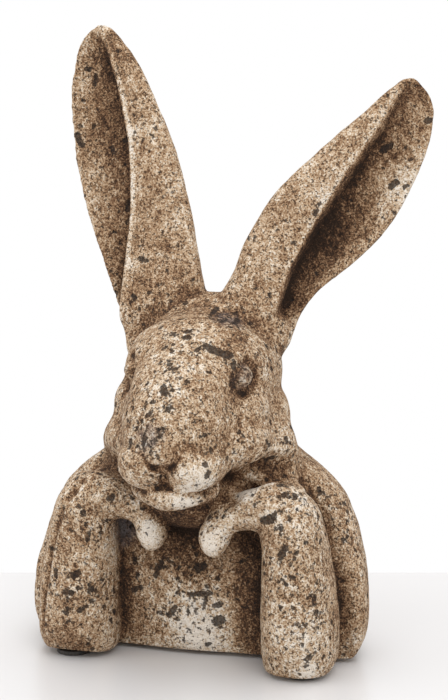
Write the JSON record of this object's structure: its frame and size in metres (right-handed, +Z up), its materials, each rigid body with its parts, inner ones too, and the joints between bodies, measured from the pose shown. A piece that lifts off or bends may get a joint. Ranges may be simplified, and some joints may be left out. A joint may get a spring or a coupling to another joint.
{
  "type": "hare bust statue",
  "caption": "Cast stone hare bust leaning on its forelegs, long ears raised in a V, small paws folded under the chin, on round rubber pads.",
  "frame": {"origin": "on the ground, under the middle of the figure's outline seen from above", "axes": "+Z up, along the figure's height; the hare faces -Y and its own left side is at +X"},
  "size_m": [0.2502, 0.1582, 0.4007],
  "materials": {
    "stone": "matte",
    "pad": "matte"
  },
  "bodies": {
    "root": {"hare": "stone", "pad_front_left": "pad", "pad_front_right": "pad", "pad_rear_left": "pad", "pad_rear_right": "pad"}
  },
  "joints": []
}
